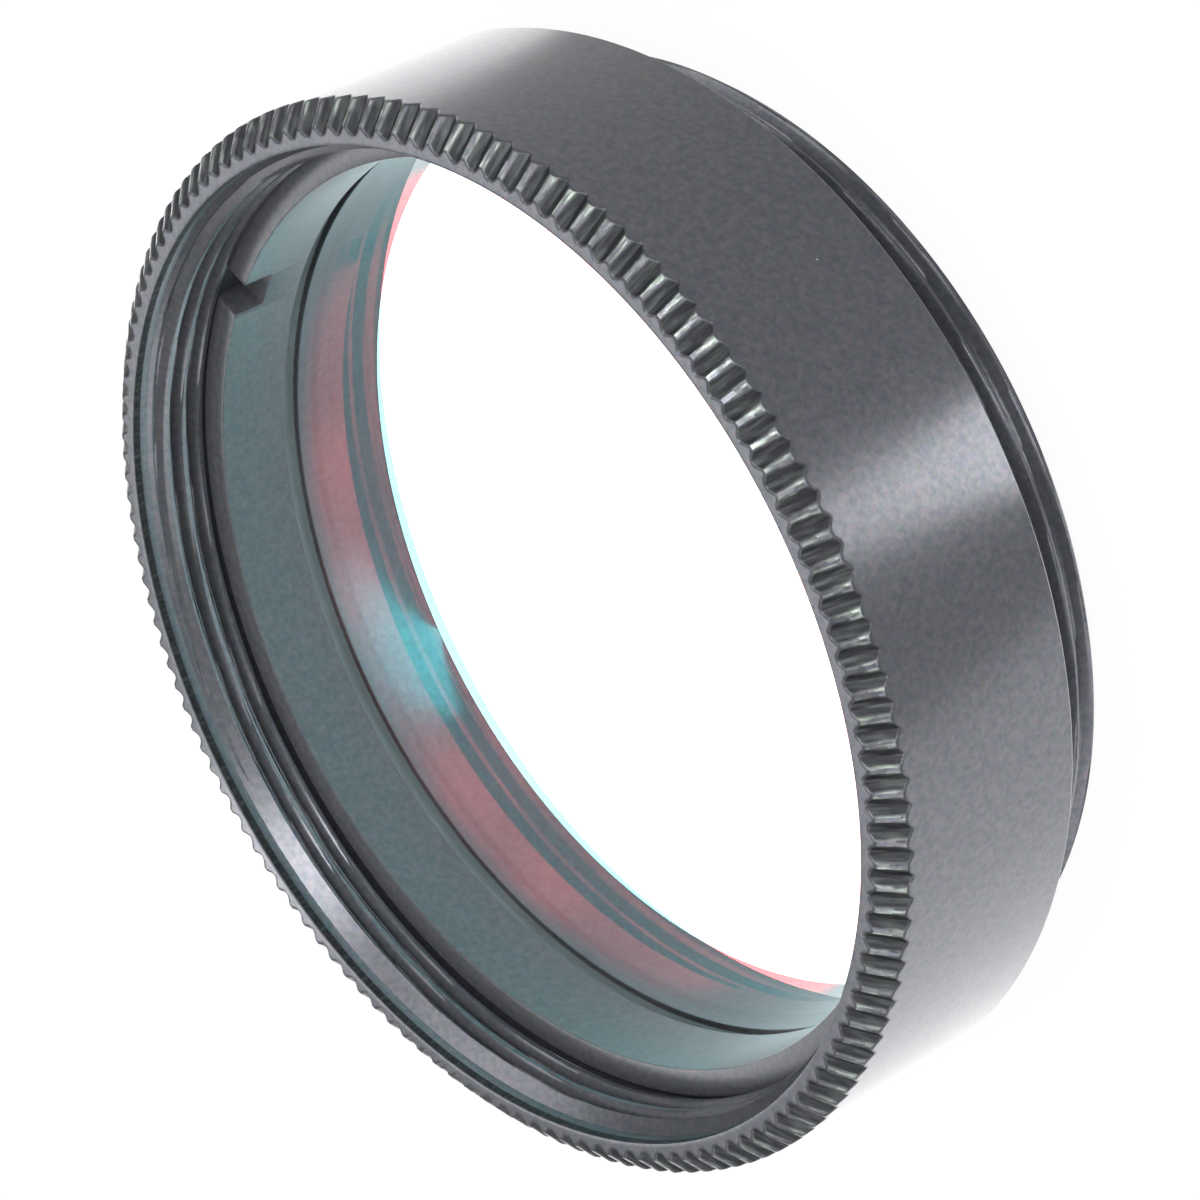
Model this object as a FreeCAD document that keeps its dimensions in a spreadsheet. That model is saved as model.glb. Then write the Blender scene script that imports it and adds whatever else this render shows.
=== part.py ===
import FreeCAD
import Part
import Sketcher
import os

# A 1.25 inch threaded filter cell, in millimetres. The origin is the centre of the rear end and +Z is the
# optical axis, towards the knurled front. A retaining ring screws in from the front and holds a coated glass
# disc down on a ledge inside the cell.

doc = FreeCAD.newDocument("blocking_filter")

# Driving dimensions, one row each: alias, value and what it measures.
driving_sizes = (
    ("thread_diameter", 28.5, "major diameter of both threads"),
    ("thread_depth", 0.3, "female crests below the major radius"),
    ("thread_clearance", 0.05, "male crests below the major radius"),
    ("cell_wall", 1.25, "from the major radius out to the smooth wall"),
    ("spigot_length", 2.5, "from the rear end to the shoulder"),
    ("spigot_end_chamfer", 0.35, "lead-in of the rear thread"),
    ("relief_depth", 0.35, "run-out groove below the male crests, at its deep end"),
    ("relief_width", 0.5, "run-out groove from its deep end up to the shoulder"),
    ("spigot_wall", 0.45, "from the rear bore out to the run-out groove"),
    ("ledge_thickness", 0.6, "from the shoulder plane up to the glass"),
    ("ring_headroom", 0.1, "bore at the major diameter above the retaining ring"),
    ("mating_depth", 2.4, "from the retaining ring up to the front face"),
    ("mouth_clearance", 0.1, "mouth recess beyond the major radius"),
    ("mouth_depth", 0.5, "plain recess along the axis"),
    ("bevel_run", 0.64, "knurled bevel across the front corner"),
    ("bevel_height", 0.55, "knurled bevel along the axis"),
    ("shoulder_chamfer", 0.15, "rear edge of the smooth wall"),
    ("tooth_count", 140, "knurl grooves round the bevel"),
    ("groove_width", 0.4, "knurl groove between two crests"),
    ("groove_depth", 0.16, "knurl groove below the crests"),
    ("glass_clearance", 0.2, "filter disc inside the female crests, radial"),
    ("glass_thickness", 1.5, "filter disc"),
    ("glass_bevel", 0.15, "ground edge of the disc"),
    ("ring_wall", 0.95, "retaining ring from its bore to its thread crests"),
    ("ring_height", 2.3, "retaining ring along the axis"),
    ("ring_chamfer", 0.15, "front outer edge of the retaining ring"),
    ("slot_width", 1.2, "spanner slots of the retaining ring"),
    ("slot_depth", 1.0, "spanner slots down from the ring's face"),
)

sheet = doc.addObject("Spreadsheet::Sheet", "Sizes")
for row, (alias, value, meaning) in enumerate(driving_sizes, start=1):
    sheet.set("A%d" % row, alias)
    sheet.set("B%d" % row, str(value))
    sheet.set("C%d" % row, meaning)
    sheet.setAlias("B%d" % row, alias)
doc.recompute()

# Levels and radii that several pieces share, as expressions of the driving dimensions.
thread_radius = "Sizes.thread_diameter / 2"
female_radius = "(%s - Sizes.thread_depth)" % thread_radius
male_radius = "(%s - Sizes.thread_clearance)" % thread_radius
body_radius = "(%s + Sizes.cell_wall)" % thread_radius
crest_radius = "(%s - Sizes.bevel_run)" % body_radius
seat_level = "(Sizes.spigot_length + Sizes.ledge_thickness)"
ring_level = "(%s + Sizes.glass_thickness)" % seat_level
ring_top_level = "(%s + Sizes.ring_height)" % ring_level
front_level = "(%s + Sizes.mating_depth)" % ring_top_level
bevel_angle = "atan(Sizes.bevel_run / Sizes.bevel_height)"
groove_lead = "Sizes.bevel_height"


def origin_plane(body, role):
    return next(plane for plane in body.Origin.OriginFeatures if plane.Role == role)


def new_sketch(body, name, role):
    sketch = body.newObject("Sketcher::SketchObject", name)
    sketch.AttachmentSupport = [(origin_plane(body, role), "")]
    sketch.MapMode = "FlatFace"
    return sketch


def pin_coordinate(sketch, kind, axis_index, corner, expression):
    # A corner on an axis stays on it. Any other corner is dimensioned from the sketch's origin.
    if expression == "0":
        sketch.addConstraint(Sketcher.Constraint("PointOnObject", corner, 1, axis_index))
        return
    distance = float(sheet.evalExpression(expression))
    index = sketch.addConstraint(Sketcher.Constraint(kind, -1, 1, corner, 1, distance))
    sketch.setExpression("Constraints[%d]" % index, expression)


def draw_polygon(sketch, corners):
    points = [FreeCAD.Vector(float(sheet.evalExpression(x)), float(sheet.evalExpression(y)), 0) for x, y in corners]
    count = len(points)
    for corner in range(count):
        sketch.addGeometry(Part.LineSegment(points[corner], points[(corner + 1) % count]), False)
    for corner in range(count):
        sketch.addConstraint(Sketcher.Constraint("Coincident", corner, 2, (corner + 1) % count, 1))
    for corner, (x, y) in enumerate(corners):
        pin_coordinate(sketch, "DistanceX", -2, corner, x)
        pin_coordinate(sketch, "DistanceY", -1, corner, y)


def revolve_profile(body, name, corners):
    sketch = new_sketch(body, name + "Profile", "XZ_Plane")
    draw_polygon(sketch, corners)
    revolution = body.newObject("PartDesign::Revolution", name)
    revolution.Profile = sketch
    revolution.ReferenceAxis = (sketch, ["V_Axis"])
    revolution.Angle = 360
    return revolution


def build_filter_cell():
    body = doc.addObject("PartDesign::Body", "FilterCell")
    body.Label = "filter_cell"
    relief_radius = "(%s - Sizes.relief_depth)" % male_radius
    rear_bore_radius = "(%s - Sizes.spigot_wall)" % relief_radius
    mouth_radius = "(%s + Sizes.mouth_clearance)" % thread_radius
    mouth_level = "(%s - Sizes.mouth_depth)" % front_level
    free_level = "%s + Sizes.ring_headroom" % ring_top_level
    corners = (
        (rear_bore_radius, "0"),
        ("%s - Sizes.spigot_end_chamfer" % male_radius, "0"),
        (male_radius, "Sizes.spigot_end_chamfer"),
        (male_radius, "Sizes.spigot_length - Sizes.relief_width"),
        (relief_radius, "Sizes.spigot_length - Sizes.relief_width"),
        (thread_radius, "Sizes.spigot_length"),
        ("%s - Sizes.shoulder_chamfer" % body_radius, "Sizes.spigot_length"),
        (body_radius, "Sizes.spigot_length + Sizes.shoulder_chamfer"),
        (body_radius, "%s - Sizes.bevel_height" % front_level),
        (crest_radius, front_level),
        (mouth_radius, front_level),
        (mouth_radius, mouth_level),
        (female_radius, "%s - (%s - %s)" % (mouth_level, mouth_radius, female_radius)),
        (female_radius, free_level),
        (thread_radius, free_level),
        (thread_radius, ring_level),
        (female_radius, ring_level),
        (female_radius, seat_level),
        (rear_bore_radius, seat_level),
    )
    revolve_profile(body, "CellTurning", corners)
    doc.recompute()
    turned_volume = body.Shape.Volume
    cut_knurl(body)
    doc.recompute()
    if not body.Shape.Volume < turned_volume:
        raise RuntimeError("the knurl grooves cut nothing")
    return body


def cut_knurl(body):
    # One V groove runs down the bevel, parallel to its crest line, and runs out on the smooth wall. The
    # sketch plane stands square to that line, a lead in front of the face, with X pointing off the bevel.
    sketch = new_sketch(body, "KnurlSection", "XY_Plane")
    sketch.AttachmentOffset = FreeCAD.Placement(
        FreeCAD.Vector(0, 0, 0),
        FreeCAD.Rotation(FreeCAD.Vector(0, 1, 0), -45),
    )
    lead_radius = "%s - %s * sin(%s)" % (crest_radius, groove_lead, bevel_angle)
    lead_level = "%s + %s * cos(%s)" % (front_level, groove_lead, bevel_angle)
    sketch.setExpression(".AttachmentOffset.Base.x", lead_radius)
    sketch.setExpression(".AttachmentOffset.Base.z", lead_level)
    sketch.setExpression(".AttachmentOffset.Rotation.Angle", "-(%s)" % bevel_angle)
    flank = "Sizes.groove_width"
    corners = (
        ("-Sizes.groove_depth", "0"),
        ("Sizes.groove_depth", "-%s" % flank),
        ("Sizes.groove_depth", flank),
    )
    draw_polygon(sketch, corners)
    pocket = body.newObject("PartDesign::Pocket", "KnurlGroove")
    pocket.Profile = sketch
    pocket.Type = 0
    pocket.setExpression("Length", "4 * %s" % groove_lead)
    doc.recompute()
    pattern = body.newObject("PartDesign::PolarPattern", "KnurlPattern")
    pattern.Originals = [pocket]
    pattern.Axis = (next(axis for axis in body.Origin.OriginFeatures if axis.Role == "Z_Axis"), [""])
    pattern.Angle = 360
    pattern.setExpression("Occurrences", "Sizes.tooth_count")
    body.Tip = pattern


def build_filter_glass():
    body = doc.addObject("PartDesign::Body", "FilterGlass")
    body.Label = "filter_glass"
    radius = "(%s - Sizes.glass_clearance)" % female_radius
    bevel = "Sizes.glass_bevel"
    top = "Sizes.glass_thickness"
    corners = (
        ("0", "0"),
        ("%s - %s" % (radius, bevel), "0"),
        (radius, bevel),
        (radius, "%s - %s" % (top, bevel)),
        ("%s - %s" % (radius, bevel), top),
        ("0", top),
    )
    revolve_profile(body, "GlassDisc", corners)
    body.setExpression("Placement.Base.z", seat_level)
    return body


def build_retaining_ring():
    body = doc.addObject("PartDesign::Body", "RetainingRing")
    body.Label = "retaining_ring"
    bore_radius = "(%s - Sizes.ring_wall)" % male_radius
    chamfer = "Sizes.ring_chamfer"
    top = "Sizes.ring_height"
    corners = (
        (bore_radius, "0"),
        (male_radius, "0"),
        (male_radius, "%s - %s" % (top, chamfer)),
        ("%s - %s" % (male_radius, chamfer), top),
        (bore_radius, top),
    )
    revolve_profile(body, "RingTurning", corners)
    doc.recompute()
    turned_volume = body.Shape.Volume
    # One bar across the ring's face cuts both spanner slots.
    sketch = new_sketch(body, "SlotOutline", "XY_Plane")
    sketch.setExpression(".AttachmentOffset.Base.z", top)
    half_width = "Sizes.slot_width / 2"
    corners = (
        ("-%s" % thread_radius, "-%s" % half_width),
        (thread_radius, "-%s" % half_width),
        (thread_radius, half_width),
        ("-%s" % thread_radius, half_width),
    )
    draw_polygon(sketch, corners)
    pocket = body.newObject("PartDesign::Pocket", "SpannerSlots")
    pocket.Profile = sketch
    pocket.Type = 0
    pocket.setExpression("Length", "Sizes.slot_depth")
    body.setExpression("Placement.Base.z", ring_level)
    doc.recompute()
    if not body.Shape.Volume < turned_volume:
        raise RuntimeError("the spanner slots cut nothing")
    return body


nodes = [build_filter_cell(), build_filter_glass(), build_retaining_ring()]
doc.recompute()

for item in doc.Objects:
    if "Invalid" in item.State or "Error" in item.State:
        raise RuntimeError("%s did not build: %s" % (item.Name, item.State))

os.makedirs("parts", exist_ok=True)
for node in nodes:
    shape = node.Shape
    if shape.isNull() or not shape.isValid():
        raise RuntimeError("%s has no valid shape" % node.Label)
    shape.exportStep("parts/%s.step" % node.Label)
    box = shape.BoundBox
    print("%s: %.3f mm3, z %.2f to %.2f, %d solid" % (
        node.Label, shape.Volume, box.ZMin, box.ZMax, len(shape.Solids)))
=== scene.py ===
import math

import bmesh
import bpy
from mathutils import Matrix, Quaternion, Vector, noise


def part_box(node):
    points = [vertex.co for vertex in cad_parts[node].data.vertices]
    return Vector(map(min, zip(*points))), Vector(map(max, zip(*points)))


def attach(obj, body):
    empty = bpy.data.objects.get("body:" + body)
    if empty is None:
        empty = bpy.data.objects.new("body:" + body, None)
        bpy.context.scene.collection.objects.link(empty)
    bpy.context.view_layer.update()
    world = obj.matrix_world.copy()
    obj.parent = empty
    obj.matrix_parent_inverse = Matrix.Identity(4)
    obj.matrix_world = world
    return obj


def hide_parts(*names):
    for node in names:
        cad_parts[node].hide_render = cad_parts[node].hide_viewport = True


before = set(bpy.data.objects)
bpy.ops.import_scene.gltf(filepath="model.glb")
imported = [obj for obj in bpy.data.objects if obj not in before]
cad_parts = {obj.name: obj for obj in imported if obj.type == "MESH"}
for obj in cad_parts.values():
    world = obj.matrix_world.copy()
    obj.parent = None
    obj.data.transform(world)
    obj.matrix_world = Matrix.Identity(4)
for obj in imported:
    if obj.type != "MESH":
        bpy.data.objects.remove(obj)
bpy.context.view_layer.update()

mm = 0.001
slack = 0.001 * mm
fullTurn = 2 * math.pi

cellLow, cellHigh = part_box("filter_cell")
glassLow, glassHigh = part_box("filter_glass")
ringLow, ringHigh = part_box("retaining_ring")

# The M28.5 x 0.6 thread that is cut inside the mouth and round the spigot. The ring's own thread is hidden
# in the cell's, so the ring is left plain.
threadSizes = {
    "majorRadius": 14.25 * mm,
    "pitch": 0.6 * mm,
    "depth": 0.3 * mm,
    "femaleCrest": 0.26,  # of the pitch
    "maleCrest": 0.14,
    "rootShare": 0.16,
    "rowHeight": 0.036 * mm,
    "frontShift": 0.08 * mm,  # where the thread in the mouth starts
}

cellSizes = {
    "wallRadius": cellHigh.x,
    "frontLevel": cellHigh.z,
    "shoulderLevel": 2.5 * mm,
    "shoulderChamfer": 0.15 * mm,
    "spigotRadius": 14.2 * mm,
    "spigotChamfer": 0.35 * mm,
    "reliefRadius": 13.85 * mm,
    "reliefLevel": 2.0 * mm,
    "rearBoreRadius": 13.4 * mm,
    "seatLevel": glassLow.z,
    "femaleRadius": 13.95 * mm,
    "ringLevel": ringLow.z,
    "threadFoot": ringHigh.z + 0.05 * mm,
    "mouthRadius": 14.35 * mm,
    "mouthDepth": 0.5 * mm,
    "bevelRun": 0.64 * mm,
    "bevelHeight": 0.55 * mm,
    "edgeBreak": 0.04 * mm,
    "columnsPerTooth": 2,
    "weldDistance": 0.002 * mm,
}

knurlSizes = {
    "toothCount": 140,
    "columnsPerTooth": 10,
    "grooveDepth": 0.16 * mm,
    "grooveShare": 0.76,  # of the tooth pitch
    "wallStart": 8.25 * mm,
    "faceStart": 14.52 * mm,
    "joinGap": 0.05 * mm,
    "cornerRound": 0.06 * mm,
    "rowStep": 0.06 * mm,
    "roughening": 0.012 * mm,
    "rougheningSeed": 5,
    "rougheningScale": 4200,
    "smoothRim": 0.02 * mm,  # left smooth under the wall
    "smoothFace": 0.01 * mm,  # and under the face
    "rougheningReach": 0.3 * mm,  # inwards past the bevel
}


def newObject(name, data):
    made = bpy.data.objects.new(name, data)
    bpy.context.scene.collection.objects.link(made)
    return made


# Edges that turn by more than the sharp angle, in degrees, stay crisp.
def finishMesh(bm, name, sharpAngle=32):
    mesh = bpy.data.meshes.new(name)
    bm.to_mesh(mesh)
    bm.free()
    mesh.shade_smooth()
    mesh.set_sharp_from_angle(angle=math.radians(sharpAngle))
    piece = newObject(name, mesh)
    weighted = piece.modifiers.new("evenNormals", "WEIGHTED_NORMAL")
    weighted.keep_sharp = True
    return piece


# A turning profile: points as radius and height, joined in a row, in the plane of the XZ axes.
def drawProfile(bm, points, closed=False):
    verts = [bm.verts.new((radius, 0, height)) for radius, height in points]
    edges = [bm.edges.new(pair) for pair in zip(verts, verts[1:])]
    if closed:
        edges.append(bm.edges.new((verts[-1], verts[0])))
    return edges


# Rounds the profile at the corners given, before it is turned.
def roundCorners(bm, corners, size, segments=2):
    places = [Vector((radius, 0, height)) for radius, height in corners]
    verts = [min(bm.verts, key=lambda vert: (vert.co - place).length) for place in places]
    bmesh.ops.bevel(bm, geom=verts, offset=size, segments=segments, profile=0.5,
                    affect="VERTICES", material=-1)


def divideEdge(bm, edge, step):
    cuts = int(edge.calc_length() / step)
    if cuts > 0:
        bmesh.ops.subdivide_edges(bm, edges=[edge], cuts=cuts)


# Turns the profile through one tooth's share of the circle.
def turnSector(bm, columns):
    bmesh.ops.spin(bm, geom=bm.verts[:] + bm.edges[:], cent=(0, 0, 0), axis=(0, 0, 1),
                   angle=fullTurn / knurlSizes["toothCount"], steps=columns)


def turnProfile(bm, columns):
    bmesh.ops.spin(bm, geom=bm.verts[:] + bm.edges[:], cent=(0, 0, 0), axis=(0, 0, 1),
                   angle=fullTurn, steps=columns, use_merge=True)


# How deep a thread is at this height and angle, from 0 on the crest to 1 in the root. Right-handed.
def threadProfile(height, angle, crestShare, shift=0.0):
    phase = ((height + shift) / threadSizes["pitch"] - angle / fullTurn) % 1.0
    fromRoot = abs(phase - 0.5) * 2
    rootEnd = threadSizes["rootShare"]
    crestStart = 1 - crestShare
    if fromRoot <= rootEnd:
        return 1.0
    if fromRoot >= crestStart:
        return 0.0
    return (crestStart - fromRoot) / (crestStart - rootEnd)


def moveToRadius(vert, radius):
    now = math.hypot(vert.co.x, vert.co.y)
    vert.co.x *= radius / now
    vert.co.y *= radius / now


def cutFrontThread(bm):
    s = cellSizes
    coneTop = s["frontLevel"] - s["mouthDepth"]
    coneFoot = coneTop - (s["mouthRadius"] - s["femaleRadius"])
    for vert in bm.verts:
        radius = math.hypot(vert.co.x, vert.co.y)
        inZone = s["threadFoot"] - slack < vert.co.z < coneTop - slack
        if not inZone or radius > s["mouthRadius"] or radius < s["femaleRadius"] - slack:
            continue
        angle = math.atan2(vert.co.y, vert.co.x)
        cone = s["femaleRadius"] + max(0.0, vert.co.z - coneFoot)
        cut = s["femaleRadius"] + threadSizes["depth"] * threadProfile(
            vert.co.z, angle, threadSizes["femaleCrest"], threadSizes["frontShift"])
        moveToRadius(vert, max(cone, cut))


def cutRearThread(bm):
    s = cellSizes
    for vert in bm.verts:
        radius = math.hypot(vert.co.x, vert.co.y)
        inZone = slack < vert.co.z < s["reliefLevel"] - slack
        if not inZone or radius < s["reliefRadius"] - slack:
            continue
        angle = math.atan2(vert.co.y, vert.co.x)
        cone = s["spigotRadius"] - max(0.0, s["spigotChamfer"] - vert.co.z)
        cut = s["spigotRadius"] - threadSizes["depth"] * threadProfile(
            vert.co.z, angle, threadSizes["maleCrest"])
        moveToRadius(vert, min(cone, cut))


# One tooth's share of the turned body, from the knurl's rear edge round the spigot and the bore to the
# front face.
def addTurnedSector(bm):
    s, k = cellSizes, knurlSizes
    coneTop = s["frontLevel"] - s["mouthDepth"]
    points = [
        (s["wallRadius"], k["wallStart"] - k["joinGap"]),
        (s["wallRadius"], s["shoulderLevel"] + s["shoulderChamfer"]),
        (s["wallRadius"] - s["shoulderChamfer"], s["shoulderLevel"]),
        (threadSizes["majorRadius"], s["shoulderLevel"]),
        (s["reliefRadius"], s["reliefLevel"]),
        (s["spigotRadius"], s["reliefLevel"]),
        (s["spigotRadius"], s["spigotChamfer"]),
        (s["spigotRadius"] - s["spigotChamfer"], 0),
        (s["rearBoreRadius"], 0),
        (s["rearBoreRadius"], s["seatLevel"]),
        (s["femaleRadius"], s["seatLevel"]),
        (s["femaleRadius"], s["ringLevel"]),
        (threadSizes["majorRadius"], s["ringLevel"]),
        (threadSizes["majorRadius"], s["threadFoot"]),
        (s["femaleRadius"], s["threadFoot"]),
        (s["femaleRadius"], coneTop - (s["mouthRadius"] - s["femaleRadius"])),
        (s["mouthRadius"], coneTop),
        (s["mouthRadius"], s["frontLevel"]),
        (k["faceStart"] - k["joinGap"], s["frontLevel"]),
    ]
    threadedEdges = (5, 6, 14, 15)
    brokenCorners = (1, 2, 8, 9, 17)
    edges = drawProfile(bm, points)
    for number in threadedEdges:
        divideEdge(bm, edges[number], threadSizes["rowHeight"])
    roundCorners(bm, [points[number] for number in brokenCorners], s["edgeBreak"])
    turnSector(bm, s["columnsPerTooth"])


# How deep the knurl is cut at a share of the tooth pitch, with a flat land between grooves. Sharpness
# runs from 0, a round groove, to 1, a pointed one.
def grooveProfile(share, sharpness):
    fromCentre = abs(share - 0.5) * 2 / knurlSizes["grooveShare"]
    if fromCentre >= 1:
        return 0.0
    rounded = 1 - fromCentre ** 2
    pointed = 1 - fromCentre
    return rounded * (1 - sharpness) + pointed * sharpness


# One tooth of the knurl, pointed where its groove runs out on the wall and round at the face.
def addToothSector(bm):
    s, k = cellSizes, knurlSizes
    bevelLevel = s["frontLevel"] - s["bevelHeight"]
    points = [
        (s["wallRadius"], k["wallStart"]),
        (s["wallRadius"], bevelLevel),
        (s["wallRadius"] - s["bevelRun"], s["frontLevel"]),
        (k["faceStart"], s["frontLevel"]),
    ]
    drawProfile(bm, points)
    roundCorners(bm, points[1:3], k["cornerRound"], segments=3)
    for edge in bm.edges[:]:
        divideEdge(bm, edge, k["rowStep"])
    turnSector(bm, k["columnsPerTooth"])
    pitchAngle = fullTurn / k["toothCount"]
    slope = Vector((-s["bevelRun"], s["bevelHeight"])).normalized()
    outward = Vector((slope.y, -slope.x))
    for vert in bm.verts:
        radius = math.hypot(vert.co.x, vert.co.y)
        angle = math.atan2(vert.co.y, vert.co.x)
        corner = Vector((radius - s["wallRadius"], vert.co.z - bevelLevel))
        below = -corner.dot(outward)
        along = corner.dot(slope) / math.hypot(s["bevelRun"], s["bevelHeight"])
        sharpness = 1 - min(1.0, max(0.0, along))
        cut = k["grooveDepth"] * grooveProfile(angle / pitchAngle, sharpness) - below
        if cut <= 0:
            continue
        vert.co.z -= cut * outward.y
        moveToRadius(vert, radius - cut * outward.x)


# The small dents and burrs that a knurling wheel leaves.
def roughenKnurl(bm):
    s, k = cellSizes, knurlSizes
    noise.seed_set(k["rougheningSeed"])
    for vert in bm.verts:
        below = s["wallRadius"] - math.hypot(vert.co.x, vert.co.y)
        onBevel = k["smoothRim"] < below < s["bevelRun"] + k["rougheningReach"]
        if onBevel and k["wallStart"] < vert.co.z < s["frontLevel"] - k["smoothFace"]:
            vert.co += noise.noise_vector(vert.co * k["rougheningScale"]) * k["roughening"]


# Two chains of the sector's edge, which face each other across a narrow gap.
def joinChains(bm, isOnChain):
    chains = [edge for edge in bm.edges
              if edge.is_boundary and all(isOnChain(vert) for vert in edge.verts)]
    bmesh.ops.bridge_loops(bm, edges=chains)


def buildCell():
    s, k = cellSizes, knurlSizes
    tooth = bmesh.new()
    addToothSector(tooth)
    part = bpy.data.meshes.new("knurlTooth")
    tooth.to_mesh(part)
    tooth.free()
    bm = bmesh.new()
    addTurnedSector(bm)
    bm.from_mesh(part)
    bpy.data.meshes.remove(part)
    # The tooth has more columns than the body below it, and a narrow band joins them at each side.
    wallRows = (k["wallStart"] - k["joinGap"], k["wallStart"])
    joinChains(bm, lambda vert: min(abs(vert.co.z - row) for row in wallRows) < slack)
    faceRows = (k["faceStart"] - k["joinGap"], k["faceStart"])
    joinChains(bm, lambda vert: abs(vert.co.z - s["frontLevel"]) < slack and
               min(abs(math.hypot(vert.co.x, vert.co.y) - row) for row in faceRows) < slack)
    bmesh.ops.spin(bm, geom=bm.verts[:] + bm.edges[:] + bm.faces[:], cent=(0, 0, 0), axis=(0, 0, 1),
                   angle=fullTurn * (k["toothCount"] - 1) / k["toothCount"],
                   steps=k["toothCount"] - 1, use_duplicate=True)
    bmesh.ops.remove_doubles(bm, verts=bm.verts[:], dist=s["weldDistance"])
    roughenKnurl(bm)
    cutFrontThread(bm)
    cutRearThread(bm)
    bmesh.ops.recalc_face_normals(bm, faces=bm.faces[:])
    return finishMesh(bm, "filterCell")


ringSizes = {
    "outerRadius": ringHigh.x,
    "boreRadius": 13.25 * mm,
    "bottom": ringLow.z,
    "top": ringHigh.z,
    "chamfer": 0.15 * mm,
    "slotWidth": 1.2 * mm,
    "slotDepth": 1.0 * mm,
    "edgeBreak": 0.045 * mm,
    "sharpAngle": 30,  # edges that turn by more are broken
    "seatGap": 0.01 * mm,  # the lower edges stay sharp
    "columns": 320,
}


# The ring is turned, slotted across with one bar and its sharp edges are broken.
def buildRing():
    s = ringSizes
    bm = bmesh.new()
    points = [
        (s["boreRadius"], s["bottom"]),
        (s["outerRadius"], s["bottom"]),
        (s["outerRadius"], s["top"] - s["chamfer"]),
        (s["outerRadius"] - s["chamfer"], s["top"]),
        (s["boreRadius"], s["top"]),
    ]
    drawProfile(bm, points, closed=True)
    turnProfile(bm, s["columns"])
    bmesh.ops.recalc_face_normals(bm, faces=bm.faces[:])
    mesh = bpy.data.meshes.new("ringTurning")
    bm.to_mesh(mesh)
    bm.free()
    turning = newObject("ringTurning", mesh)

    bar = bmesh.new()
    scale = Matrix.Diagonal((4 * s["outerRadius"], s["slotWidth"], 2 * s["slotDepth"], 1))
    place = Matrix.Translation((0, 0, s["top"]))
    bmesh.ops.create_cube(bar, size=1, matrix=place @ scale)
    barMesh = bpy.data.meshes.new("slotBar")
    bar.to_mesh(barMesh)
    bar.free()
    cutter = newObject("slotBar", barMesh)
    cut = turning.modifiers.new("slots", "BOOLEAN")
    cut.operation = "DIFFERENCE"
    cut.solver = "EXACT"
    cut.object = cutter
    graph = bpy.context.evaluated_depsgraph_get()
    slotted = bmesh.new()
    slotted.from_object(turning, graph)
    bpy.data.objects.remove(cutter)
    bpy.data.objects.remove(turning)
    bmesh.ops.remove_doubles(slotted, verts=slotted.verts[:], dist=slack)
    turn = math.radians(s["sharpAngle"])
    sharp = [edge for edge in slotted.edges if edge.is_manifold and edge.calc_face_angle() > turn
             and edge.verts[0].co.z > s["bottom"] + s["seatGap"]]
    bmesh.ops.bevel(slotted, geom=sharp, offset=s["edgeBreak"], segments=2, profile=0.5,
                    affect="EDGES", material=-1, clamp_overlap=True)
    return finishMesh(slotted, "retainingRing")


glassSizes = {
    "radius": glassHigh.x,
    "bottom": glassLow.z,
    "top": glassHigh.z,
    "bevel": 0.15 * mm,
    "columns": 320,
}


def buildGlass():
    s = glassSizes
    bm = bmesh.new()
    bmesh.ops.create_circle(bm, cap_ends=True, segments=s["columns"], radius=s["radius"],
                            matrix=Matrix.Translation((0, 0, s["bottom"])))
    lifted = bmesh.ops.extrude_face_region(bm, geom=bm.faces[:], use_keep_orig=True)
    top = [item for item in lifted["geom"] if isinstance(item, bmesh.types.BMVert)]
    bmesh.ops.translate(bm, verts=top, vec=(0, 0, s["top"] - s["bottom"]))
    rims = [edge for edge in bm.edges if abs(edge.verts[0].co.z - edge.verts[1].co.z) < slack]
    bmesh.ops.bevel(bm, geom=rims, offset=s["bevel"], segments=1, profile=0.5,
                    affect="EDGES", material=-1)
    bmesh.ops.recalc_face_normals(bm, faces=bm.faces[:])
    return finishMesh(bm, "filterGlass")


cell = buildCell()
ring = buildRing()
glass = buildGlass()
for piece in (cell, ring, glass):
    print("%s: %d vertices, %d faces" % (
        piece.name, len(piece.data.vertices), len(piece.data.polygons)))


# Small helpers for node trees.
def addNode(tree, kind, inputs=None, **settings):
    node = tree.nodes.new(kind)
    for name, value in settings.items():
        setattr(node, name, value)
    for name, value in (inputs or {}).items():
        if isinstance(value, bpy.types.NodeSocket):
            tree.links.new(value, node.inputs[name])
        else:
            node.inputs[name].default_value = value
    return node


def addMath(tree, operation, *values):
    return addNode(tree, "ShaderNodeMath", dict(enumerate(values)), operation=operation).outputs[0]


def mixColors(tree, factor, first, second, blend="MIX"):
    return addNode(tree, "ShaderNodeMix", {"Factor": factor, "A": first, "B": second},
                   data_type="RGBA", blend_type=blend).outputs["Result"]


def mapShare(tree, value, low, high):
    return addNode(tree, "ShaderNodeMapRange",
                   {"Value": value, "From Min": low, "From Max": high}).outputs["Result"]


# How far each point is from the optical axis.
def measureRadius(tree, place):
    flat = addNode(tree, "ShaderNodeVectorMath", {0: place, 1: (1, 1, 0)}, operation="MULTIPLY")
    length = addNode(tree, "ShaderNodeVectorMath", {0: flat.outputs[0]}, operation="LENGTH")
    return length.outputs["Value"]


def startMaterial(name):
    material = bpy.data.materials.new(name)
    material.use_nodes = True
    tree = material.node_tree
    tree.nodes.clear()
    return material, tree


def mixShaders(tree, factor, first, second):
    return addNode(tree, "ShaderNodeMixShader", {0: factor, 1: first.outputs[0], 2: second.outputs[0]})


def finishMaterial(tree, shader):
    addNode(tree, "ShaderNodeOutputMaterial", {"Surface": shader.outputs[0]})


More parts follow.
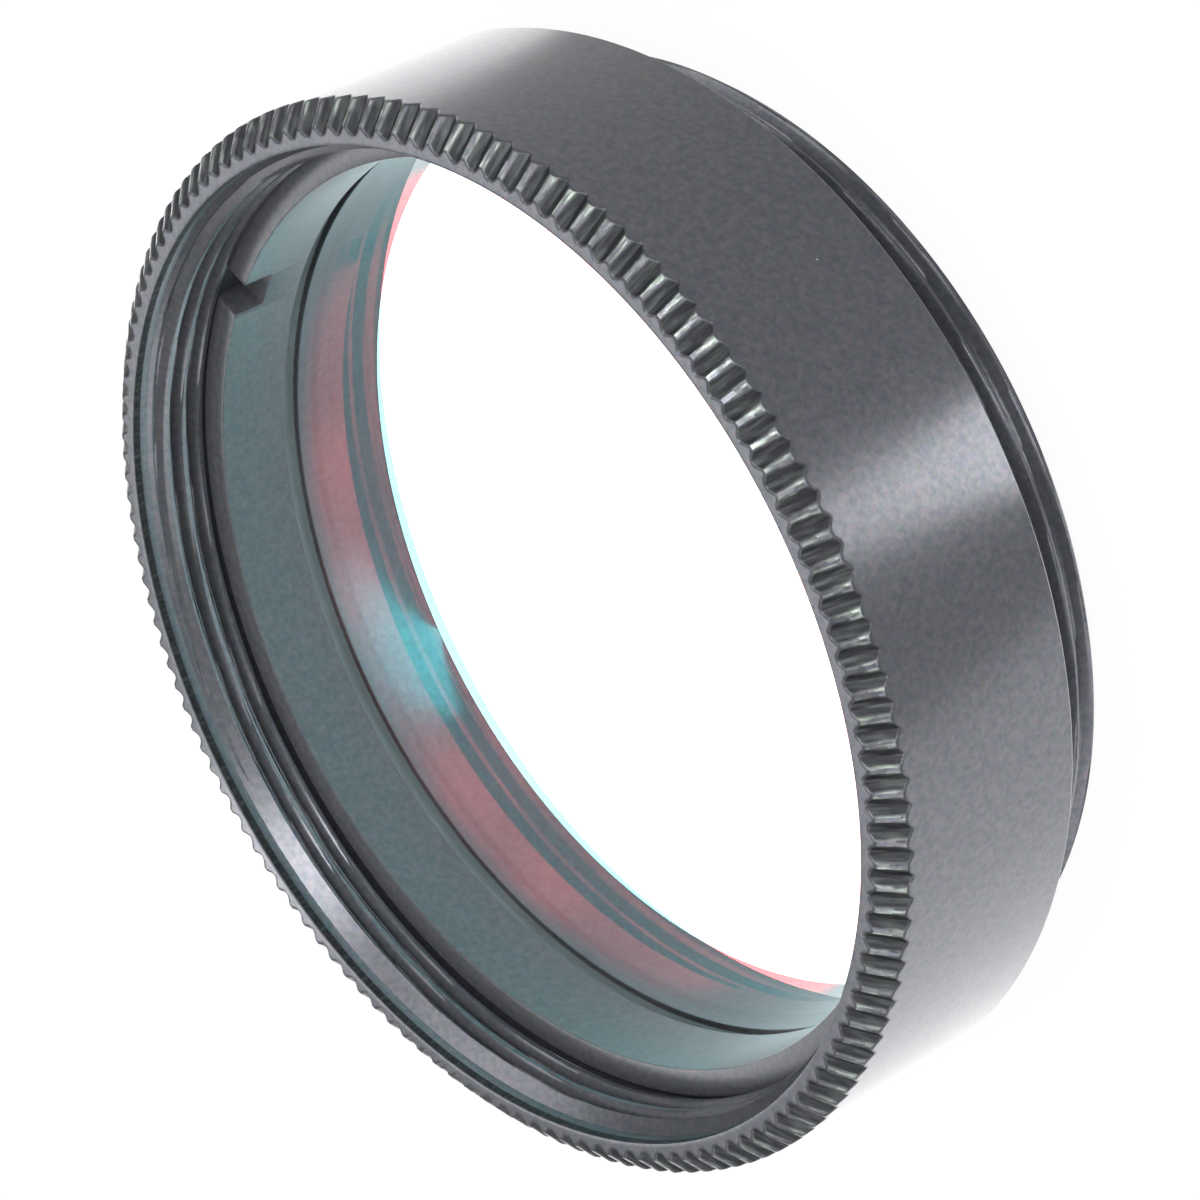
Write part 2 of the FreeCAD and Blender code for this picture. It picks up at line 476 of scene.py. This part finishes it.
def startGroup(name, inputs, outputs):
    group = bpy.data.node_groups.new(name, "ShaderNodeTree")
    for socket, kind, value in inputs:
        made = group.interface.new_socket(socket, in_out="INPUT", socket_type="NodeSocket" + kind)
        if value is not None:
            made.default_value = value
    for socket, kind in outputs:
        group.interface.new_socket(socket, in_out="OUTPUT", socket_type="NodeSocket" + kind)
    return group, group.nodes.new("NodeGroupInput"), group.nodes.new("NodeGroupOutput")


anodiseLook = {
    "patchScale": 5200.0,
    "patchDetail": 5.0,
    "patchRoughness": 0.6,
    "patchRange": (0.35, 0.65),  # of the noise, from the dark tone to the pale one
    "hueDetail": 2.0,
    "hueRoughness": 0.5,
    "hueDistortion": 0.4,
    "grainScale": 17000.0,
    "grainDetail": 3.0,
    "grainRoughness": 0.65,
    "dustScale": 520.0,
    "dustSize": 0.035,  # of a dust cell
    "dustFree": 0.9,  # of the cells hold no dust
    "dustTone": (0.6, 0.6, 0.6, 1),
}


# Anodised metal: fine patches of two tones and a drifting hue, under a blasted grain and a little dust.
def makeAnodiseGroup():
    look = anodiseLook
    inputs = [
        ("Vector", "Vector", None),
        ("Dark Tone", "Color", (0.05, 0.05, 0.05, 1)),
        ("Pale Tone", "Color", (0.1, 0.1, 0.1, 1)),
        ("Hue Share", "Float", 0.3),
        ("Patch Scale", "Float", look["patchScale"]),
        ("Grain Scale", "Float", look["grainScale"]),
        ("Dust Scale", "Float", look["dustScale"]),
        ("Dust Tone", "Color", look["dustTone"]),
        ("Roughness", "Float", 0.35),
        ("Roughness Spread", "Float", 0.08),
    ]
    outputs = [("Color", "Color"), ("Roughness", "Float"), ("Height", "Float")]
    group, given, result = startGroup("anodisedSurface", inputs, outputs)
    place = given.outputs["Vector"]
    patches = addNode(group, "ShaderNodeTexNoise",
                      {"Vector": place, "Scale": given.outputs["Patch Scale"],
                       "Detail": look["patchDetail"], "Roughness": look["patchRoughness"]})
    share = mapShare(group, patches.outputs["Fac"], *look["patchRange"])
    tone = mixColors(group, share, given.outputs["Dark Tone"], given.outputs["Pale Tone"])
    drift = addNode(group, "ShaderNodeTexNoise",
                    {"Vector": place, "Scale": given.outputs["Patch Scale"],
                     "Detail": look["hueDetail"], "Roughness": look["hueRoughness"],
                     "Distortion": look["hueDistortion"]})
    hue = mixColors(group, given.outputs["Hue Share"], tone, drift.outputs["Color"], "SOFT_LIGHT")
    dots = addNode(group, "ShaderNodeTexVoronoi",
                   {"Vector": place, "Scale": given.outputs["Dust Scale"]})
    near = addMath(group, "LESS_THAN", dots.outputs["Distance"], look["dustSize"])
    draw = addNode(group, "ShaderNodeSeparateColor", {"Color": dots.outputs["Color"]})
    rare = addMath(group, "GREATER_THAN", draw.outputs["Red"], look["dustFree"])
    dusted = mixColors(group, addMath(group, "MULTIPLY", near, rare), hue, given.outputs["Dust Tone"])
    grain = addNode(group, "ShaderNodeTexNoise",
                    {"Vector": place, "Scale": given.outputs["Grain Scale"],
                     "Detail": look["grainDetail"], "Roughness": look["grainRoughness"]})
    offCentre = addMath(group, "SUBTRACT", grain.outputs["Fac"], 0.5)
    rough = addMath(group, "MULTIPLY_ADD", offCentre, given.outputs["Roughness Spread"],
                    given.outputs["Roughness"])
    group.links.new(dusted, result.inputs["Color"])
    group.links.new(rough, result.inputs["Roughness"])
    group.links.new(grain.outputs["Fac"], result.inputs["Height"])
    return group


anodiseGroup = makeAnodiseGroup()


grooveLook = {
    "firstDepth": 0.004 * mm,  # where a groove starts to darken
    "fullDepth": 0.055 * mm,  # and where it has the groove's tone
    "reach": 0.25 * mm,  # what lies deeper is the bore or the spigot
    "crestDepth": 0.05 * mm,
    "crestStart": 0.03 * mm,  # the painted glints on the crests keep this far off the wall and the face
    "streakScale": 6500.0,
    "streakDetail": 3.0,
    "streakStretch": 0.22,  # along the axis
    "glintRange": (0.50, 0.68),  # of the noise
    "scoredRange": (0.45, 0.75),
}


# The knurl: grooves painted dark as shade, streaked with lighter scoring marks, and painted glints on the
# crests. A point's depth is taken under the wall, the bevel or the face, whichever is nearest.
def makeGrooveGroup():
    s, look = cellSizes, grooveLook
    slope = math.hypot(s["bevelRun"], s["bevelHeight"])
    outward = (s["bevelHeight"] / slope, s["bevelRun"] / slope)
    bevelPlane = outward[0] * s["wallRadius"] + outward[1] * (s["frontLevel"] - s["bevelHeight"])
    inputs = [
        ("Vector", "Vector", None),
        ("Color", "Color", None),
        ("Roughness", "Float", 0.3),
        ("Groove Shade Tone", "Color", (0.02, 0.02, 0.02, 1)),
        ("Groove Roughness", "Float", 0.5),
        ("Groove Depth", "Float", look["fullDepth"]),
        ("Scored Shade Tone", "Color", (0.08, 0.08, 0.08, 1)),
        ("Glint Tone", "Color", (0.2, 0.2, 0.2, 1)),
        ("Streak Scale", "Float", look["streakScale"]),
    ]
    outputs = [("Color", "Color"), ("Roughness", "Float")]
    group, given, result = startGroup("knurlShadeAndGlints", inputs, outputs)
    radius = measureRadius(group, given.outputs["Vector"])
    parts = addNode(group, "ShaderNodeSeparateXYZ", {"Vector": given.outputs["Vector"]}).outputs
    radial = addMath(group, "MULTIPLY_ADD", radius, -outward[0], bevelPlane)
    underBevel = addMath(group, "MULTIPLY_ADD", parts["Z"], -outward[1], radial)
    underWall = addMath(group, "SUBTRACT", s["wallRadius"], radius)
    underFace = addMath(group, "SUBTRACT", s["frontLevel"], parts["Z"])
    least = addMath(group, "MINIMUM", underWall, underFace)
    depth = addMath(group, "MINIMUM", least, underBevel)
    # Painted shade: the deeper a point lies in a groove, the darker it is painted. The groove is also
    # rougher.
    deep = mapShare(group, depth, look["firstDepth"], given.outputs["Groove Depth"])
    near = addMath(group, "LESS_THAN", depth, look["reach"])
    grooveShadeMask = addMath(group, "MULTIPLY", deep, near)
    onBevel = addMath(group, "LESS_THAN", underBevel, look["crestDepth"])
    offEdge = addMath(group, "GREATER_THAN", least, look["crestStart"])
    crest = addMath(group, "MULTIPLY", onBevel, offEdge)

    angle = addMath(group, "ARCTAN2", parts["Y"], parts["X"])
    around = addMath(group, "MULTIPLY", angle, s["wallRadius"])
    down = addMath(group, "MULTIPLY", parts["Z"], look["streakStretch"])
    unrolled = addNode(group, "ShaderNodeCombineXYZ", {"X": around, "Y": down})
    streaks = addNode(group, "ShaderNodeTexNoise",
                      {"Vector": unrolled.outputs[0], "Detail": look["streakDetail"],
                       "Scale": given.outputs["Streak Scale"]}).outputs["Fac"]
    glintShare = mapShare(group, streaks, *look["glintRange"])
    scored = mapShare(group, streaks, *look["scoredRange"])
    # Painted shade in the grooves, streaked with lighter scoring marks.
    grooveShadeColor = mixColors(group, scored, given.outputs["Groove Shade Tone"], given.outputs["Scored Shade Tone"])
    # Painted highlight: glints painted in streaks on the bevel's crests.
    glint = addMath(group, "MULTIPLY", crest, glintShare)
    glinting = mixColors(group, glint, given.outputs["Color"], given.outputs["Glint Tone"])
    rough = addNode(group, "ShaderNodeMix",
                    {"Factor": grooveShadeMask, "A": given.outputs["Roughness"],
                     "B": given.outputs["Groove Roughness"]}, data_type="FLOAT")
    group.links.new(mixColors(group, grooveShadeMask, glinting, grooveShadeColor), result.inputs["Color"])
    group.links.new(rough.outputs["Result"], result.inputs["Roughness"])
    return group


grooveGroup = makeGrooveGroup()

cellFinish = {
    "darkTone": (0.053, 0.055, 0.063, 1),
    "paleTone": (0.073, 0.074, 0.083, 1),
    "hueShare": 0.22,
    "roughness": 0.32,
    "roughnessSpread": 0.16,
    "metal": 0.7,
    "grainHeight": 0.0015 * mm,
    # Painted shade for the knurl's grooves, with lighter scored streaks in it.
    "grooveShadeTone": (0.009, 0.010, 0.012, 1),
    "scoredShadeTone": (0.045, 0.048, 0.048, 1),
    # Painted highlight: the glints on the knurl's crests.
    "glintTone": (0.17, 0.20, 0.17, 1),
    "grooveRoughness": 0.5,
}

ringFinish = {
    "darkTone": (0.050, 0.052, 0.058, 1),
    "paleTone": (0.070, 0.071, 0.078, 1),
    "hueShare": 0.2,
    "roughness": 0.30,
    "roughnessSpread": 0.12,
    "metal": 0.4,
    "grainHeight": 0.001 * mm,
}


def makeAnodised(name, finish):
    material, tree = startMaterial(name)
    place = addNode(tree, "ShaderNodeTexCoord")
    surface = addNode(tree, "ShaderNodeGroup", {
        "Vector": place.outputs["Object"],
        "Dark Tone": finish["darkTone"],
        "Pale Tone": finish["paleTone"],
        "Hue Share": finish["hueShare"],
        "Roughness": finish["roughness"],
        "Roughness Spread": finish["roughnessSpread"],
    }, node_tree=anodiseGroup)
    shown = surface
    if "grooveShadeTone" in finish:
        shown = addNode(tree, "ShaderNodeGroup", {
            "Vector": place.outputs["Object"],
            "Color": surface.outputs["Color"],
            "Roughness": surface.outputs["Roughness"],
            "Groove Shade Tone": finish["grooveShadeTone"],
            "Scored Shade Tone": finish["scoredShadeTone"],
            "Glint Tone": finish["glintTone"],
            "Groove Roughness": finish["grooveRoughness"],
        }, node_tree=grooveGroup)
    bump = addNode(tree, "ShaderNodeBump",
                   {"Height": surface.outputs["Height"], "Distance": finish["grainHeight"]})
    shader = addNode(tree, "ShaderNodeBsdfPrincipled", {
        "Base Color": shown.outputs["Color"],
        "Roughness": shown.outputs["Roughness"],
        "Normal": bump.outputs["Normal"],
        "Metallic": finish["metal"],
    })
    finishMaterial(tree, shader)
    return material


# The coating reflects red and lets green and blue through. It ends inside the ring, on a bare border.
glassFinish = {
    "tint": (0.80, 0.77, 0.79, 1),
    "coating": (10.5, 0.8, 0.9, 1),  # how much more of each colour than bare glass it reflects
    "borderTint": (0.55, 0.72, 0.74, 1),
    "coatedRadius": (11.8 * mm, 12.6 * mm),  # where the coating starts to thin, and where it ends
    "index": 1.52,
    "clearRadius": 13.55 * mm,  # outside it the edge is ground
    # Painted light: the ground edge is opaque, and its teal-grey tone stands in for the light it scatters
    # from inside the glass.
    "groundEdgeLightTone": (0.24, 0.29, 0.30, 1),
    "groundRoughness": 0.55,
}


def makeGlassMaterial():
    material, tree = startMaterial("coatedGlass")
    place = addNode(tree, "ShaderNodeTexCoord")
    radius = measureRadius(tree, place.outputs["Object"])
    ground = addMath(tree, "GREATER_THAN", radius, glassFinish["clearRadius"])
    border = mapShare(tree, radius, *glassFinish["coatedRadius"])
    polished = addNode(tree, "ShaderNodeBsdfPrincipled", {
        "Base Color": glassFinish["tint"],
        "Roughness": 0.0,
        "IOR": glassFinish["index"],
        "Specular Tint": glassFinish["coating"],
        "Transmission Weight": 1.0,
    })
    bare = addNode(tree, "ShaderNodeBsdfPrincipled", {
        "Base Color": glassFinish["borderTint"],
        "Roughness": 0.0,
        "IOR": glassFinish["index"],
        "Transmission Weight": 1.0,
    })
    # The ground edge: rough and opaque, in a tone of painted scattered light.
    frosted = addNode(tree, "ShaderNodeBsdfPrincipled", {
        "Base Color": glassFinish["groundEdgeLightTone"],
        "Roughness": glassFinish["groundRoughness"],
    })
    shadow = addNode(tree, "ShaderNodeBsdfTransparent", {"Color": glassFinish["tint"]})
    rays = addNode(tree, "ShaderNodeLightPath")
    clear = mixShaders(tree, border, polished, bare)
    whole = mixShaders(tree, ground, clear, frosted)
    finishMaterial(tree, mixShaders(tree, rays.outputs["Is Shadow Ray"], whole, shadow))
    return material


def dress(piece, material, node):
    piece.data.materials.clear()
    piece.data.materials.append(material)
    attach(piece, "root")
    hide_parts(node)


dress(cell, makeAnodised("cellAnodised", cellFinish), "filter_cell")
dress(ring, makeAnodised("ringAnodised", ringFinish), "retaining_ring")
dress(glass, makeGlassMaterial(), "filter_glass")
print("materials ready")

stage = {
    "floorSize": 3.0,
    "floorColor": (0.86, 0.86, 0.86, 1),
    "backgroundShare": 0.92,  # how much of the floor that the camera sees is plain white
    "worldColor": (0.96, 0.98, 1.0, 1),
    "worldStrength": 0.45,
}


def buildFloor():
    bm = bmesh.new()
    bmesh.ops.create_grid(bm, x_segments=1, y_segments=1, size=stage["floorSize"] / 2)
    mesh = bpy.data.meshes.new("floor")
    bm.to_mesh(mesh)
    bm.free()
    floor = newObject("floor", mesh)
    material, tree = startMaterial("floorWhite")
    matte = addNode(tree, "ShaderNodeBsdfDiffuse", {"Color": stage["floorColor"]})
    white = addNode(tree, "ShaderNodeEmission", {"Color": (1, 1, 1, 1), "Strength": 1.0})
    rays = addNode(tree, "ShaderNodeLightPath")
    seen = addMath(tree, "MAXIMUM", rays.outputs["Is Camera Ray"], rays.outputs["Is Glossy Ray"])
    shown = addMath(tree, "MAXIMUM", seen, rays.outputs["Is Transmission Ray"])
    share = addMath(tree, "MULTIPLY", shown, stage["backgroundShare"])
    finishMaterial(tree, mixShaders(tree, share, matte, white))
    mesh.materials.append(material)
    return floor


def lightWorld():
    world = bpy.data.worlds.new("studio")
    bpy.context.scene.world = world
    world.use_nodes = True
    tree = world.node_tree
    tree.nodes.clear()
    light = addNode(tree, "ShaderNodeBackground",
                    {"Color": stage["worldColor"], "Strength": stage["worldStrength"]})
    addNode(tree, "ShaderNodeOutputWorld", {"Surface": light.outputs[0]})


# Azimuth, elevation and roll in degrees, the rest in metres. Brightness is what a mirror would show.
# "lights" names the pieces that a lamp lights, where it doesn't light them all.
softboxes = {
    "mouthGlint": {"azimuth": 276, "elevation": 57, "distance": 0.20, "width": 0.05, "height": 0.05,
                   "brightness": 30.0, "aim": (0.0032, 0.0138, 0.0086), "roll": 0, "lights": "cell"},
    "facePatch": {"azimuth": 64, "elevation": 33, "distance": 0.03, "width": 0.006, "height": 0.005,
                  "brightness": 15.0, "aim": (0.0037, 0.0140, 0.0093), "roll": 0, "lights": "cell"},
    "backPanel": {"azimuth": 58, "elevation": 47, "distance": 0.26, "width": 0.20, "height": 0.14,
                  "brightness": 3.9, "aim": (0, 0, 0.009), "roll": 35, "lights": "metal"},
    "glassPanel": {"azimuth": 64, "elevation": 36, "distance": 0.26, "width": 0.22, "height": 0.16,
                   "brightness": 4.0, "aim": (0, 0, 0.006), "roll": 0, "lights": "glass"},
    "keyPanel": {"azimuth": 244, "elevation": 38, "distance": 0.34, "width": 0.40, "height": 0.14,
                 "brightness": 6.0, "aim": (0, 0, 0.006), "roll": 0, "lights": "metal"},
    "keySideLeft": {"azimuth": 330, "elevation": 38, "distance": 0.34, "width": 0.34, "height": 0.14,
                    "brightness": 5.0, "aim": (0, 0, 0.006), "roll": 0, "lights": "metal"},
    "keySideRight": {"azimuth": 160, "elevation": 38, "distance": 0.34, "width": 0.34, "height": 0.14,
                     "brightness": 5.0, "aim": (0, 0, 0.006), "roll": 0, "lights": "metal"},
    "ringLeft": {"azimuth": 288, "elevation": 38, "distance": 0.34, "width": 0.26, "height": 0.14,
                 "brightness": 7.0, "aim": (0, 0, 0.006), "roll": 0, "lights": "ring"},
    "ringRight": {"azimuth": 200, "elevation": 38, "distance": 0.34, "width": 0.26, "height": 0.14,
                  "brightness": 7.0, "aim": (0, 0, 0.006), "roll": 0, "lights": "ring"},
    "topPanel": {"azimuth": 244, "elevation": 86, "distance": 0.30, "width": 0.16, "height": 0.16,
                 "brightness": 1.2, "aim": (0, 0, 0.006), "roll": 0},
}

# Lamps lying face up on the floor or just above the glass, which the walls and the glass pick up. Places
# in metres, turns in degrees.
lightTables = {
    "lightTable": {"place": (0, 0.02425), "size": (0.120, 0.0715), "turn": 0, "brightness": 1.85},
    "wallStreak": {"place": (-0.0127, -0.0201), "size": (0.016, 0.0035), "turn": 234.6,
                   "brightness": 7.0, "lights": "cell"},
    "mouthCard": {"place": (0.0075, 0.0070), "size": (0.0085, 0.0035), "turn": -20,
                  "brightness": 2.4, "lights": "cell", "level": 0.00475},
    "mouthSpark": {"place": (0.0031, 0.0084), "size": (0.0016, 0.0016), "turn": 0,
                   "brightness": 5.0, "lights": "cell", "level": 0.00475},
    "borePatch": {"place": (0.0057, 0.0098), "size": (0.0026, 0.0035), "turn": 0,
                  "brightness": 9.0, "lights": "cell", "color": (0.25, 1.0, 1.0)},
}
tableLevel = 0.03 * mm

litPieces = {}


def groupForLamps(name, pieces):
    litPieces[name] = bpy.data.collections.new(name)
    for piece in pieces:
        litPieces[name].objects.link(piece)


def directionTo(azimuth, elevation):
    turn, lift = math.radians(azimuth), math.radians(elevation)
    return Vector((math.cos(lift) * math.cos(turn), math.cos(lift) * math.sin(turn), math.sin(lift)))


def addLamp(name, values, width, height):
    lamp = bpy.data.lights.new(name, "AREA")
    lamp.shape = "RECTANGLE"
    lamp.size, lamp.size_y = width, height
    lamp.energy = values["brightness"] * math.pi * width * height
    lamp.color = values.get("color", (1, 1, 1))
    holder = newObject(name, lamp)
    holder.visible_camera = False
    if "lights" in values:
        holder.light_linking.receiver_collection = litPieces[values["lights"]]
    return holder


def hangSoftbox(name, values):
    holder = addLamp(name, values, values["width"], values["height"])
    toLamp = directionTo(values["azimuth"], values["elevation"])
    holder.location = Vector(values["aim"]) + toLamp * values["distance"]
    turned = toLamp.to_track_quat("Z", "Y") @ Quaternion((0, 0, 1), math.radians(values["roll"]))
    holder.rotation_euler = turned.to_euler()


def layLightTable(name, values):
    holder = addLamp(name, values, *values["size"])
    holder.location = (*values["place"], values.get("level", tableLevel))
    holder.rotation_euler = (math.pi, 0, math.radians(values["turn"]))


# The camera looks down on the front of the cell and is turned on its side, as in the photograph.
cameraPlace = {
    "target": (-0.147 * mm, 0.104 * mm, 4.65 * mm),
    "distance": 131.066 * mm,
    "azimuth": 243.8,
    "elevation": 35.842,
    "roll": -116.85,
    "lens": 143.65,
    "sensor": 36.0,
    "clipStart": 5 * mm,
}


def placeCamera():
    c = cameraPlace
    camera = bpy.data.cameras.new("camera")
    camera.lens = c["lens"]
    camera.sensor_width = c["sensor"]
    camera.clip_start = c["clipStart"]
    holder = newObject("camera", camera)
    toCamera = directionTo(c["azimuth"], c["elevation"])
    upright = toCamera.to_track_quat("Z", "Y").to_matrix().to_4x4()
    turned = upright @ Matrix.Rotation(math.radians(c["roll"]), 4, "Z")
    holder.matrix_world = Matrix.Translation(Vector(c["target"]) + toCamera * c["distance"]) @ turned
    bpy.context.scene.camera = holder


floor = buildFloor()
groupForLamps("metal", (cell, ring, floor))
groupForLamps("glass", (glass,))
groupForLamps("cell", (cell,))
groupForLamps("ring", (ring,))
lightWorld()
for name, values in softboxes.items():
    hangSoftbox(name, values)
for name, values in lightTables.items():
    layLightTable(name, values)
placeCamera()
bpy.context.scene.view_settings.view_transform = "Standard"
print("stage, lights and camera ready")
